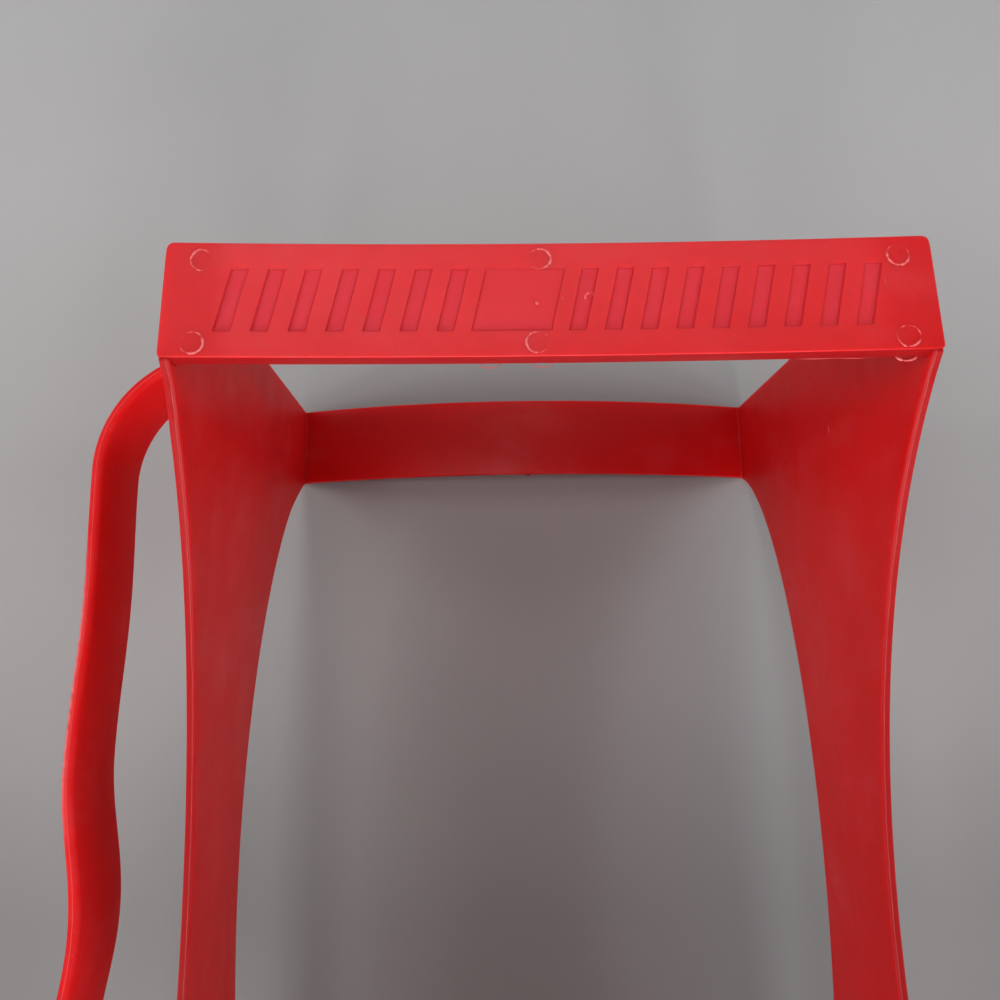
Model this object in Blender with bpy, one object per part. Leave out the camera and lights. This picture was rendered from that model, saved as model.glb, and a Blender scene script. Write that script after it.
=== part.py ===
"""Carrier for a half-gallon gable-top milk carton, moulded in red plastic.

The carton drops in from above, through the collar, and stands on the floor. The real carrier is one
moulding, and here each of its members is a piece of its own.

+Z points up along the carton, the front band faces -Y and the handle stands off towards -X. The
origin lies on the underside of the floor, in the middle of the carton.
"""

import math

import bmesh
import bpy

MM = 0.001

# The carton, and the play that it has on each side
CARTON_SIDE = 95.3 * MM
CARTON_PLAY = 1.45 * MM

# The carrier as a whole
HEIGHT = 186.0 * MM
WALL = 1.4 * MM
MEMBER_GAP = 0.3 * MM
EDGE_CHAMFER = 0.3 * MM

# Front bands, thicker than the walls, with a draft that lets them stand proud at the window's edge
FRONT_WALL = 2.0 * MM
BAND_HEIGHT = 16.2 * MM
BAND_DRAFT = 0.4 * MM
BAND_ROUNDING = 0.6 * MM
FRONT_BOW = 1.5 * MM

# Rear band of the collar, a spring that bows in towards the carton, with a fillet at each wall
REAR_BOW = 9.0 * MM
CORNER_FILLET = 1.5 * MM

# Side straps: hourglass plates, narrowest at half height. Each edge is an ellipse's side, and the
# run-outs are how far past the bands the ellipses would end
STRAP_WAIST = 29.2 * MM
FRONT_RUNOUT = 20.3 * MM
REAR_RUNOUT = 0.9 * MM
LEFT_STRAP_BOW = 3.2 * MM
RIGHT_STRAP_BOW = 0.3 * MM

# Handle, a flat strap that leaves the left wall near the collar and returns near the base
HANDLE_WIDTH = 18.6 * MM
HANDLE_THICKNESS = 1.6 * MM
HANDLE_REACH = 23.6 * MM
HANDLE_DROP = 2.3 * MM
HANDLE_BEND = 20.5 * MM
GRIP_LENGTH = 46.8 * MM
GRIP_DIP = 2.7 * MM
GRIP_SWELL = 0.8 * MM
SHOULDER_DIP = 0.6 * MM

# Floor, a closed plate inside the base
FLOOR_THICKNESS = 2.0 * MM

# Sunk panel on the front band: slanted bars on either side of a plain shallow patch
BAR_HEIGHT = 8.7 * MM
BAR_DROP = 3.6 * MM
BAR_WIDTH = 2.3 * MM
BAR_SPACE = 2.2 * MM
BAR_DEPTH = 0.4 * MM
BAR_SLANT = math.radians(13.0)
PANEL_MARGIN = 7.6 * MM
PATCH_WIDTH = 10.6 * MM
PATCH_OFFSET = -4.3 * MM
PATCH_DEPTH = 0.2 * MM

# How many steps each curve is drawn with
BAND_STEPS = 24
STRAP_STEPS = 36
BEND_STEPS = 12
RUN_STEPS = 24
FILLET_STEPS = 6

HALF_INNER = CARTON_SIDE / 2 + CARTON_PLAY
HALF_OUTER = HALF_INNER + WALL
MIDDLE = HEIGHT / 2
HALF_WINDOW = MIDDLE - BAND_HEIGHT
COLLAR_UNDERSIDE = HEIGHT - BAND_HEIGHT
FRONT_BAND_BACK = -HALF_OUTER + FRONT_WALL
REAR_BAND_FRONT = HALF_OUTER - WALL
CUTTER_MARGIN = 5.0 * MM

MOULDED_RED = (0.56, 0.028, 0.032)
INNER_RED = (0.50, 0.022, 0.026)


def clear_scene():
    for obj in list(bpy.data.objects):
        bpy.data.objects.remove(obj, do_unlink=True)


def steps(start, end, count):
    """Evenly spaced values from start to end, both included."""
    return [start + (end - start) * i / count for i in range(count + 1)]


def red_plastic(name, colour):
    material = bpy.data.materials.new(name)
    material.use_nodes = True
    shader = material.node_tree.nodes["Principled BSDF"]
    shader.inputs["Base Color"].default_value = (*colour, 1.0)
    shader.inputs["Roughness"].default_value = 0.38
    shader.inputs["Metallic"].default_value = 0.0
    shader.inputs["IOR"].default_value = 1.5
    material.diffuse_color = (*colour, 1.0)
    return material


def mesh_object(name, mesh_builder, colour=MOULDED_RED):
    """A new object from a bmesh, with its faces turned outwards and a material of its own."""
    bmesh.ops.recalc_face_normals(mesh_builder, faces=mesh_builder.faces)
    mesh = bpy.data.meshes.new(name)
    mesh_builder.to_mesh(mesh)
    mesh_builder.free()
    obj = bpy.data.objects.new(name, mesh)
    bpy.context.scene.collection.objects.link(obj)
    mesh.materials.append(red_plastic(name + "_plastic", colour))
    return obj


def lofted(near_outline, far_outline, place, start, end):
    """A closed solid from one outline to another with as many points, at two heights.

    place(a, b, along) turns an outline point and a height into a 3D point.
    """
    builder = bmesh.new()
    near = [builder.verts.new(place(a, b, start)) for a, b in near_outline]
    far = [builder.verts.new(place(a, b, end)) for a, b in far_outline]
    builder.faces.new(near)
    builder.faces.new(list(reversed(far)))
    for i in range(len(near)):
        j = (i + 1) % len(near)
        builder.faces.new((near[i], far[i], far[j], near[j]))
    return builder


def extruded(outline, place, start, end):
    return lofted(outline, outline, place, start, end)


def in_plan(x, y, z):
    return (x, y, z)


def in_side_view(x, z, y):
    return (x, y, z)


def round_edges(obj, width, segments):
    bevel = obj.modifiers.new("edges", "BEVEL")
    bevel.width = width
    bevel.segments = segments
    bevel.limit_method = "ANGLE"
    bevel.angle_limit = math.radians(40)


def cut(obj, cutter):
    """Takes the cutter away from the object, and leaves it out of the carrier."""
    cutter.hide_render = True
    cutter.display_type = "WIRE"
    boolean = obj.modifiers.new("cut_" + cutter.name, "BOOLEAN")
    boolean.operation = "DIFFERENCE"
    boolean.solver = "EXACT"
    boolean.object = cutter


def sagitta(x, half_chord, bow):
    """How far a circular arc over the chord stands off it at x, and nothing beyond its ends."""
    radius = (half_chord**2 + bow**2) / (2 * bow)
    reach = min(abs(x), half_chord)
    return math.sqrt(radius**2 - reach**2) - (radius - bow)


def front_face(x):
    """The y of the collar's front face at its rim, which draws in a little between the walls."""
    return -HALF_OUTER + sagitta(x, HALF_INNER, FRONT_BOW)


def front_outline(face, draft):
    """A front band in plan, with its outer side grown by the draft at this height."""
    across = steps(-HALF_INNER, HALF_INNER, BAND_STEPS)
    end = HALF_OUTER + draft
    outer = [(x, face(x) - draft) for x in [-end] + across + [end]]
    inner = [(x, face(x) + FRONT_WALL) for x in [end] + across[::-1] + [-end]]
    return outer + inner


def bar_band(name, rim, window_edge, face):
    """A front band over the ends of both side straps, from its rim to the window's edge."""
    at_rim = front_outline(face, 0.0)
    at_window = front_outline(face, BAND_DRAFT)
    band = mesh_object(name, lofted(at_rim, at_window, in_plan, rim, window_edge))
    round_edges(band, BAND_ROUNDING, 3)
    return band


def slanted_cutter(name, centre, width, depth):
    """A slanted bar that cuts the front face to a depth, as tall as the sunk panel."""
    top = HEIGHT - BAR_DROP
    bottom = top - BAR_HEIGHT
    lean = BAR_HEIGHT * math.tan(BAR_SLANT) / 2
    half = width / 2
    outline = [
        (centre - half - lean, bottom),
        (centre + half - lean, bottom),
        (centre + half + lean, top),
        (centre - half + lean, top),
    ]
    draft = BAND_DRAFT / BAND_HEIGHT
    start = front_face(centre) - CUTTER_MARGIN
    builder = extruded(outline, in_side_view, start, front_face(centre) + depth)
    for vertex in builder.verts:
        vertex.co.y -= draft * (HEIGHT - vertex.co.z)
    return mesh_object(name, builder)


def bar_centres(start, end):
    """Centres of as many bars as fit between two places, spread evenly over them."""
    pitch = BAR_WIDTH + BAR_SPACE
    count = max(1, int((end - start + BAR_SPACE) / pitch))
    spread = (end - start - BAR_WIDTH) / max(1, count - 1)
    return [start + BAR_WIDTH / 2 + spread * i for i in range(count)]


def make_front_band():
    band = bar_band("front_band", HEIGHT, COLLAR_UNDERSIDE, front_face)
    end = HALF_OUTER - PANEL_MARGIN
    patch_left = PATCH_OFFSET - PATCH_WIDTH / 2
    patch_right = PATCH_OFFSET + PATCH_WIDTH / 2
    centres = bar_centres(-end, patch_left - BAR_SPACE)
    centres += bar_centres(patch_right + BAR_SPACE, end)
    for number, centre in enumerate(centres):
        cut(band, slanted_cutter(f"bar_cutter_{number}", centre, BAR_WIDTH, BAR_DEPTH))
    cut(band, slanted_cutter("patch_cutter", PATCH_OFFSET, PATCH_WIDTH, PATCH_DEPTH))


def make_base_front_band():
    bar_band("base_front_band", 0.0, BAND_HEIGHT, lambda x: -HALF_OUTER)


def fillet_rise(distance):
    """How far a corner fillet stands out at a distance from the wall."""
    if distance >= CORNER_FILLET:
        return 0.0
    return CORNER_FILLET - math.sqrt(CORNER_FILLET**2 - (CORNER_FILLET - distance) ** 2)


def make_rear_band():
    """The collar's spring band: an arc between the two walls, with its middle towards the carton."""
    end = HALF_INNER - MEMBER_GAP
    outer_radius = (HALF_INNER**2 + REAR_BOW**2) / (2 * REAR_BOW)
    centre = HALF_OUTER - REAR_BOW + outer_radius
    inner_radius = outer_radius + WALL
    corner = steps(end, end - CORNER_FILLET, FILLET_STEPS)
    between = steps(-corner[-1], corner[-1], BAND_STEPS)
    across = [-x for x in corner] + between[1:-1] + corner[::-1]
    outer = [(x, centre - math.sqrt(outer_radius**2 - x**2)) for x in across]
    inner = []
    for x in reversed(across):
        y = centre - math.sqrt(inner_radius**2 - x**2) - fillet_rise(end - abs(x))
        inner.append((x, y))
    builder = extruded(outer + inner, in_plan, COLLAR_UNDERSIDE, HEIGHT)
    band = mesh_object("rear_band", builder, INNER_RED)
    round_edges(band, EDGE_CHAMFER, 1)


def make_base_rear_band():
    end = HALF_INNER - MEMBER_GAP
    outline = [
        (-end, REAR_BAND_FRONT),
        (end, REAR_BAND_FRONT),
        (end, HALF_OUTER),
        (-end, HALF_OUTER),
    ]
    builder = extruded(outline, in_plan, 0.0, BAND_HEIGHT)
    band = mesh_object("base_rear_band", builder, INNER_RED)
    round_edges(band, EDGE_CHAMFER, 1)


def strap_edge(height, runout):
    """How far an edge lies from mid-depth: half the waist, up to the full depth at both bands."""
    reach = HALF_WINDOW + runout
    full_rise = 1 - math.sqrt(1 - (HALF_WINDOW / reach) ** 2)
    level = min(abs(height - MIDDLE), HALF_WINDOW) / reach
    rise = 1 - math.sqrt(1 - level**2)
    return STRAP_WAIST / 2 + (HALF_OUTER - STRAP_WAIST / 2) * rise / full_rise


def seat_cutter(name, side, low, high):
    """Room for a front band at the strap's edge, with the gap between members round it."""
    near = -HALF_OUTER - CUTTER_MARGIN
    back = FRONT_BAND_BACK + MEMBER_GAP
    outline = [(near, low), (back, low), (back, high), (near, high)]

    def across_wall(y, z, x):
        return (x, y, z)

    inside = side * (HALF_INNER - CUTTER_MARGIN)
    outside = side * (HALF_OUTER + CUTTER_MARGIN)
    return mesh_object(name, extruded(outline, across_wall, inside, outside))


def make_side_strap(name, side, bow):
    """One wall of the collar, its strap and the wall of the base, on the side that side gives."""
    builder = bmesh.new()
    turns = steps(-math.pi / 2, math.pi / 2, STRAP_STEPS)
    window = [MIDDLE + HALF_WINDOW * math.sin(turn) for turn in turns]
    rings = []
    for height in [0.0] + window + [HEIGHT]:
        front = -strap_edge(height, FRONT_RUNOUT)
        rear = strap_edge(height, REAR_RUNOUT)
        shift = bow * max(0.0, 1 - ((height - MIDDLE) / HALF_WINDOW) ** 2)
        inner = side * (HALF_INNER + shift)
        outer = side * (HALF_OUTER + shift)
        corners = ((outer, front), (outer, rear), (inner, rear), (inner, front))
        rings.append([builder.verts.new((x, y, height)) for x, y in corners])
    builder.faces.new(rings[0])
    builder.faces.new(rings[-1])
    for lower, upper in zip(rings, rings[1:]):
        for i in range(4):
            j = (i + 1) % 4
            builder.faces.new((lower[i], lower[j], upper[j], upper[i]))
    strap = mesh_object(name, builder)
    round_edges(strap, EDGE_CHAMFER, 1)
    collar_seat = COLLAR_UNDERSIDE - MEMBER_GAP
    base_seat = BAND_HEIGHT + MEMBER_GAP
    cut(strap, seat_cutter(name + "_collar_seat", side, collar_seat, HEIGHT + CUTTER_MARGIN))
    cut(strap, seat_cutter(name + "_base_seat", side, -CUTTER_MARGIN, base_seat))


def raised_cosine(distance, half_length):
    """1 at no distance, and smoothly down to 0 at the half length."""
    if abs(distance) >= half_length:
        return 0.0
    return (1 + math.cos(math.pi * distance / half_length)) / 2


def handle_path():
    """The handle's outer face in side view, from its upper root down to its lower one."""
    root = -HALF_OUTER - MEMBER_GAP
    grip = -HALF_OUTER - HANDLE_REACH
    top = HEIGHT - HANDLE_DROP
    half_run = top - HANDLE_BEND - MIDDLE
    half_grip = GRIP_LENGTH / 2
    bend_x = grip + HANDLE_BEND
    shoulder_length = half_run - half_grip
    shoulder = half_grip + shoulder_length / 2
    path = [(root, top)]
    for turn in steps(0.0, math.pi / 2, BEND_STEPS):
        x = bend_x - HANDLE_BEND * math.sin(turn)
        z = top - HANDLE_BEND + HANDLE_BEND * math.cos(turn)
        path.append((x, z))
    for along in steps(half_run, 0.0, RUN_STEPS)[1:]:
        dip = GRIP_DIP * raised_cosine(along, half_grip)
        dip += SHOULDER_DIP * raised_cosine(along - shoulder, shoulder_length / 2)
        dip -= GRIP_SWELL * raised_cosine(max(0.0, along - half_grip), shoulder_length)
        path.append((grip + dip, MIDDLE + along))
    lower_half = [(x, HEIGHT - z) for x, z in reversed(path[:-1])]
    return path + lower_half


def inset_path(path, distance):
    """The path moved to its left by a distance. Its two ends stay on the wall."""
    moved = []
    for i, (x, z) in enumerate(path):
        before = path[max(0, i - 1)]
        after = path[min(len(path) - 1, i + 1)]
        run = math.hypot(after[0] - before[0], after[1] - before[1])
        along_x = (after[0] - before[0]) / run
        along_z = (after[1] - before[1]) / run
        moved.append((x - along_z * distance, z + along_x * distance))
    return moved


def make_handle_strap():
    outer = handle_path()
    inner = inset_path(outer, HANDLE_THICKNESS)
    half = HANDLE_WIDTH / 2
    builder = extruded(outer + inner[::-1], in_side_view, -half, half)
    handle = mesh_object("handle_strap", builder)
    round_edges(handle, EDGE_CHAMFER, 1)


def make_base_floor():
    side = HALF_INNER - MEMBER_GAP
    front = FRONT_BAND_BACK + MEMBER_GAP
    rear = REAR_BAND_FRONT - MEMBER_GAP
    outline = [(-side, front), (side, front), (side, rear), (-side, rear)]
    floor = mesh_object("base_floor", extruded(outline, in_plan, 0.0, FLOOR_THICKNESS), INNER_RED)
    round_edges(floor, EDGE_CHAMFER, 1)


def main():
    clear_scene()
    make_front_band()
    make_rear_band()
    make_side_strap("left_side_strap", -1, LEFT_STRAP_BOW)
    make_side_strap("right_side_strap", 1, RIGHT_STRAP_BOW)
    make_handle_strap()
    make_base_front_band()
    make_base_rear_band()
    make_base_floor()


main()
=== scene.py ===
import math

import bmesh
import bpy
from mathutils import Matrix, Vector, noise


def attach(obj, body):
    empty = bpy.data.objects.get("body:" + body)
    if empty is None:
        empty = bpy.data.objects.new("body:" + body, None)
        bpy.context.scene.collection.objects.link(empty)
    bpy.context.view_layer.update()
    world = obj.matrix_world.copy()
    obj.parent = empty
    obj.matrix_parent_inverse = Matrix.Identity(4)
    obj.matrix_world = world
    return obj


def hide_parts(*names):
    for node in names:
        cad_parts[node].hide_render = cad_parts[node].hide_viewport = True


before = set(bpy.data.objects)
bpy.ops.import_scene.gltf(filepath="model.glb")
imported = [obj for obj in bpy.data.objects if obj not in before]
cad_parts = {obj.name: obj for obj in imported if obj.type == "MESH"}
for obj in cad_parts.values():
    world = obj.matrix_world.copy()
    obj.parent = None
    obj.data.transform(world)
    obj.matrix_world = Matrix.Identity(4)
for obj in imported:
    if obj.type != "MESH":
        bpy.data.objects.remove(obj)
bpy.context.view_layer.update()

# Shapes are worked out in millimetres, in the CAD frame, and turned into metres at the very end
MM = 0.001
QUARTER = math.pi / 2
FULL_TURN = 2 * math.pi

# Sizes that the CAD source gives
HEIGHT = 186.0
MIDDLE = HEIGHT / 2
HALF_INNER = 49.1
WALL = 1.4
HALF_OUTER = HALF_INNER + WALL
FRONT_WALL = 2.0
BAND_HEIGHT = 16.2
HALF_WINDOW = MIDDLE - BAND_HEIGHT
COLLAR_UNDERSIDE = HEIGHT - BAND_HEIGHT
FRONT_BOW = 1.5
REAR_BOW = 9.0
CORNER_FILLET = 1.5
HALF_WAIST = 14.6
FRONT_RUNOUT = 20.3
REAR_RUNOUT = 0.9
LEFT_STRAP_BOW = 3.2
RIGHT_STRAP_BOW = 0.3
HANDLE_WIDTH = 18.6
HANDLE_REACH = 23.6
HANDLE_DROP = 2.3
HANDLE_BEND = 20.5
GRIP_LENGTH = 46.8
GRIP_DIP = 2.7
GRIP_SWELL = 0.8
SHOULDER_DIP = 0.6
FLOOR_THICKNESS = 2.0
BAR_HEIGHT = 8.7
BAR_DROP = 3.6
BAR_WIDTH = 2.3
BAR_SPACE = 2.2
BAR_SLANT = math.radians(13.0)
PANEL_MARGIN = 7.6
PATCH_WIDTH = 10.6
PATCH_OFFSET = -4.3

# Sizes that only the looks have: the bands
BAND_DRAFT = 0.3
BAR_DEPTH = 0.34
PATCH_DEPTH = 0.2
RECESS_WALL = 0.12
GROOVE_REACH = 0.07
GROOVE_END = 0.26
EDGE_RADIUS = 0.3
BAND_LOWER_RADIUS = 0.2
BAND_END_RADIUS = 0.4
BAND_CORNER_RADIUS = 1.1
CORNER_REACH = 3.0
UNDERSIDE_SLOPE = 0.35
REAR_EDGE_RADIUS = 0.25
REAR_FILLET = 0.4

# The draft widens the front bands' ends from here outwards
DRAFTED_END = 48.9

# A front band's face is painted darker, a painted shade, by this share from this far above its
# lower edge, over this height
LOWER_SHADE = 0.3
LOWER_SHADE_TOP = 2.2
LOWER_SHADE_REACH = 2.0

# From here to the walls the rear band counts as thin, so that no dark crease shows in its corners
THIN_START = 47.2
THIN_REACH = 1.2

# The straps, with the lip of flash along their front edges
STRAP_EDGE_RADIUS = 0.25
LIP = 0.10
LIP_PLACE = 0.46
LIP_HALF = 0.12

# How far from its faces a strap's cut front edge reaches its full painted shade
CUT_EDGE_SHADE_REACH = 0.12

# The straps turn a little more matt from this far off mid-height, over this distance
END_MATT = 0.25
MATT_START = 42.0
MATT_REACH = 20.0

# A strap's front edge steps behind the band between these heights above the band's underside
STEP_LOW = 0.6
STEP_HIGH = 0.9

# The handle, whose inner face is crowned and whose front edge has a pale painted highlight round
# one height
HANDLE_THICKNESS = 1.9
HANDLE_EDGE_RADIUS = 0.85
HANDLE_RIDGE = 0.06
RIDGE_HALF = 0.1
HANDLE_CROWN = 0.5
ROOT_FILLET = 1.6
HIGHLIGHT_HEIGHT = 128.0
HIGHLIGHT_REACH = 18.0

# The rims that mould pins left, the half width at which a line of flash is at its palest, and how
# deep a bump's foot lies
PIN_RADIUS = 1.45
THICK_FLASH = 0.11
BUMP_FOOT = 0.02

# Points this far from an edge's rounding keep the shading of the broad face beside it flat
SUPPORT = 0.3

# How deep a piece's end runs into its neighbour, and how far off flush faces it stays
EMBED = 0.6
FLUSH_GAP = 0.04

# Columns and rows are evenly spaced up to here, and then follow the fillets and rounded edges
FLAT_HALF = 47.0
LOWER_MARGIN = 0.8
UPPER_MARGIN = 0.6
PANEL_ROW_GAP = 0.4
FLOOR_SPACING = 1.2

# What each point of a shape knows, for the material to read
MARKS = ("wear_and_highlight", "sunk", "groove_shade_and_dark_spot", "pale_and_highlight", "painted_sheen", "matt", "edge_shade", "thin")

# Faces that meet at more than this keep a sharp edge between them
SHARP_ANGLE = math.radians(38.0)


def steps(start, end, count):
    return [start + (end - start) * i / count for i in range(count + 1)]


def smooth(t):
    t = min(1.0, max(0.0, t))
    return t * t * (3 - 2 * t)


def rough(*place):
    """Smooth noise at a place, from about -1 to 1."""
    return noise.noise(Vector(place))


def round_corner(radius, count=4):
    """Points round a quarter circle: (distance off one side, distance off the other, how much edge
    wear and painted highlight).
    """
    return [
        (radius * (1 - math.cos(turn)), radius * (1 - math.sin(turn)), math.sin(2 * turn))
        for turn in steps(0.0, QUARTER, count)
    ]


def fillet_rise(distance, radius=CORNER_FILLET):
    """How high a hollow fillet stands at a distance from the wall that it runs up."""
    if distance >= radius:
        return 0.0
    return radius - math.sqrt(radius**2 - (radius - max(0.0, distance)) ** 2)


def fillet_places(wall, radius=CORNER_FILLET, count=6):
    """Places across a fillet, from its foot to the wall, closer together near the wall."""
    return [wall - radius * (1 - math.cos(turn)) for turn in steps(QUARTER, 0.0, count)]


def wall_to_wall(count, radius=CORNER_FILLET, fillet_count=6):
    """Columns from inside one side wall to inside the other, closer together across the fillets."""
    near_wall = fillet_places(HALF_INNER, radius, fillet_count) + [HALF_INNER + EMBED]
    return [-x for x in near_wall[::-1]] + steps(-FLAT_HALF, FLAT_HALF, count) + near_wall


class Shape:
    """Points in millimetres with their faces.

    A point is its place, and then its marks if it has any.
    """

    def __init__(self):
        self.places = []
        self.marks = []
        self.faces = []

    def add_point(self, place, marks=None):
        self.places.append(tuple(place))
        self.marks.append(marks or {})
        return len(self.places) - 1

    def add_rings(self, rings, looped=False):
        """Skins a row of closed rings with as many points each. Its ends meet or are capped."""
        numbers = [[self.add_point(*point) for point in ring] for ring in rings]
        pairs = list(zip(numbers, numbers[1:]))
        if looped:
            pairs.append((numbers[-1], numbers[0]))
        for lower, upper in pairs:
            for i in range(len(lower)):
                j = (i + 1) % len(lower)
                self.faces.append((lower[i], lower[j], upper[j], upper[i]))
        if not looped:
            self.faces.append(tuple(numbers[0]))
            self.faces.append(tuple(reversed(numbers[-1])))

    def make(self, name, node):
        mesh = bpy.data.meshes.new(name)
        mesh.from_pydata([[c * MM for c in place] for place in self.places], [], self.faces)
        for label in MARKS:
            layer = mesh.attributes.new(label, "FLOAT", "POINT")
            layer.data.foreach_set("value", [marks.get(label, 0.0) for marks in self.marks])
        builder = bmesh.new()
        builder.from_mesh(mesh)
        bmesh.ops.recalc_face_normals(builder, faces=builder.faces)
        builder.to_mesh(mesh)
        builder.free()
        mesh.shade_smooth()
        mesh.set_sharp_from_angle(angle=SHARP_ANGLE)
        mesh.materials.append(MOULDED_RED)
        piece = bpy.data.objects.new(name, mesh)
        bpy.context.scene.collection.objects.link(piece)
        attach(piece, "root")
        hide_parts(node)


# The material


class Nodes:
    """A short way to wire the nodes of a material or a world round its first shader."""

    def __init__(self, owner, shader="Principled BSDF"):
        self.owner = owner
        owner.use_nodes = True
        self.tree = owner.node_tree
        self.shader = self.tree.nodes[shader]

    def add(self, kind, inputs=None, **settings):
        node = self.tree.nodes.new(kind)
        for key, value in settings.items():
            setattr(node, key, value)
        for key, value in (inputs or {}).items():
            self.put(node.inputs[key], value)
        return node

    def put(self, socket, value):
        if isinstance(value, bpy.types.NodeSocket):
            self.tree.links.new(value, socket)
        else:
            socket.default_value = value

    def noise(self, position, scale, detail=2.0, roughness=0.5):
        inputs = {"Vector": position, "Scale": scale, "Detail": detail, "Roughness": roughness}
        return self.add("ShaderNodeTexNoise", inputs).outputs["Fac"]

    def stretched(self, position, scale, tilt=0.0):
        inputs = {"Vector": position, "Scale": scale, "Rotation": (0.0, math.radians(tilt), 0.0)}
        return self.add("ShaderNodeMapping", inputs).outputs["Vector"]

    def between(self, value, low, high, to_low=0.0, to_high=1.0):
        inputs = {"Value": value, "From Min": low, "From Max": high}
        inputs |= {"To Min": to_low, "To Max": to_high}
        return self.add("ShaderNodeMapRange", inputs, clamp=True).outputs["Result"]

    def math(self, operation, a, b):
        node = self.add("ShaderNodeMath", operation=operation)
        self.put(node.inputs[0], a)
        self.put(node.inputs[1], b)
        return node.outputs[0]

    def mix(self, factor, a, b):
        node = self.add("ShaderNodeMix", data_type="RGBA")
        self.put(node.inputs["Factor"], factor)
        self.put(node.inputs["A"], (*a, 1) if isinstance(a, tuple) else a)
        self.put(node.inputs["B"], (*b, 1) if isinstance(b, tuple) else b)
        return node.outputs["Result"]

    def bump(self, height, strength, distance, normal=None):
        inputs = {"Height": height, "Strength": strength, "Distance": distance}
        if normal is not None:
            inputs["Normal"] = normal
        return self.add("ShaderNodeBump", inputs).outputs["Normal"]

    def mark(self, label, share):
        fac = self.add("ShaderNodeAttribute", attribute_name=label).outputs["Fac"]
        return self.math("MULTIPLY", fac, share)


# How far a full mark turns the plastic's colour into another, and how much rougher it makes it
MARK_COLOURS = (
    # sunk: the recess floors painted paler and bluer, a painted sheen, besides being rougher
    ("sunk", 0.35, (0.74, 0.052, 0.094)),
    # painted shade darkening the recesses' edges, and a few dark spots on small bumps
    ("groove_shade_and_dark_spot", 0.40, (0.36, 0.003, 0.006)),
    # painted shade on the front bands' lower edges and undersides and on the straps' cut front
    # edges
    ("edge_shade", 0.90, (0.34, 0.008, 0.010)),
    # pale: whitish flash and scratches, and painted highlights along the handle's front edge and
    # the parting lines
    ("pale_and_highlight", 0.75, (0.86, 0.24, 0.24)),
)
MARK_ROUGHNESS = (("sunk", 0.25), ("groove_shade_and_dark_spot", 0.3), ("matt", 0.3))


def red_colour(nodes, place):
    """The plastic with its clouds, mottle, specks and handled patches, its edge wear with painted
    highlights and its painted sheen, then the marked places.
    """
    clouds = nodes.noise(nodes.stretched(place, (1.0, 1.0, 0.4)), 55.0, 4.0, 0.6)
    plain, cloudy = (0.585, 0.0045, 0.0055), (0.64, 0.0065, 0.0085)
    colour = nodes.mix(nodes.between(clouds, 0.3, 0.7), plain, cloudy)

    mottle = nodes.between(nodes.noise(place, 420.0, 3.0, 0.6), 0.45, 0.75)
    dark_specks = nodes.between(nodes.noise(place, 1300.0, 1.0), 0.72, 0.78)
    pale_specks = nodes.between(nodes.noise(place, 1700.0, 1.0), 0.72, 0.79)
    patches = nodes.noise(nodes.stretched(place, (1.0, 1.0, 1.5)), 62.0, 4.0, 0.6)
    handled = nodes.between(patches, 0.52, 0.70)
    patchy = nodes.between(nodes.noise(place, 260.0, 3.0), 0.35, 0.75)
    sheen_noise = nodes.noise(nodes.stretched(place, (1.0, 1.0, 1.8)), 75.0, 4.0, 0.6)
    uneven_sheen = nodes.between(sheen_noise, 0.25, 0.75, 0.7, 1.25)
    layers = (
        (mottle, 0.16, (0.50, 0.004, 0.006)),
        (dark_specks, 0.40, (0.30, 0.004, 0.006)),
        (pale_specks, 0.22, (0.78, 0.12, 0.13)),
        (handled, 0.30, (0.68, 0.060, 0.070)),
        # edge wear, pale along the rounded edges, which also stands in for painted highlights there
        (nodes.mark("wear_and_highlight", 0.35), patchy, (0.80, 0.09, 0.10)),
        # painted sheen: the front face painted paler and pinker where light would glance off it
        (nodes.mark("painted_sheen", 0.68), uneven_sheen, (0.75, 0.068, 0.080)),
    )
    for pattern, share, tint in layers:
        colour = nodes.mix(nodes.math("MULTIPLY", pattern, share), colour, tint)
    for label, share, tint in MARK_COLOURS:
        colour = nodes.mix(nodes.mark(label, share), colour, tint)
    return colour


def red_roughness(nodes, place):
    haze = nodes.noise(place, 140.0, 3.0, 0.6)
    roughness = nodes.between(haze, 0.3, 0.7, 0.34, 0.42)
    for label, rougher in MARK_ROUGHNESS:
        roughness = nodes.math("ADD", roughness, nodes.mark(label, rougher))
    return roughness


def red_skin(nodes, place):
    """The surface's fine shape: a slow swell, orange peel, grain and slanted scratches."""
    swell = nodes.noise(place, 45.0, 2.0, 0.5)
    peel = nodes.noise(place, 380.0, 2.0, 0.5)
    grain = nodes.noise(place, 2600.0, 3.0, 0.6)
    streaks = nodes.noise(nodes.stretched(place, (1.0, 1.0, 14.0), 24.0), 90.0, 2.0)
    scratches = nodes.between(streaks, 0.70, 0.74)
    normal = None
    for height, strength, distance in (
        (swell, 0.10, 0.0006),
        (peel, 0.12, 0.00008),
        (grain, 0.14, 0.00003),
        (scratches, 0.10, 0.00004),
    ):
        normal = nodes.bump(height, strength, distance, normal)
    return normal


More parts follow.
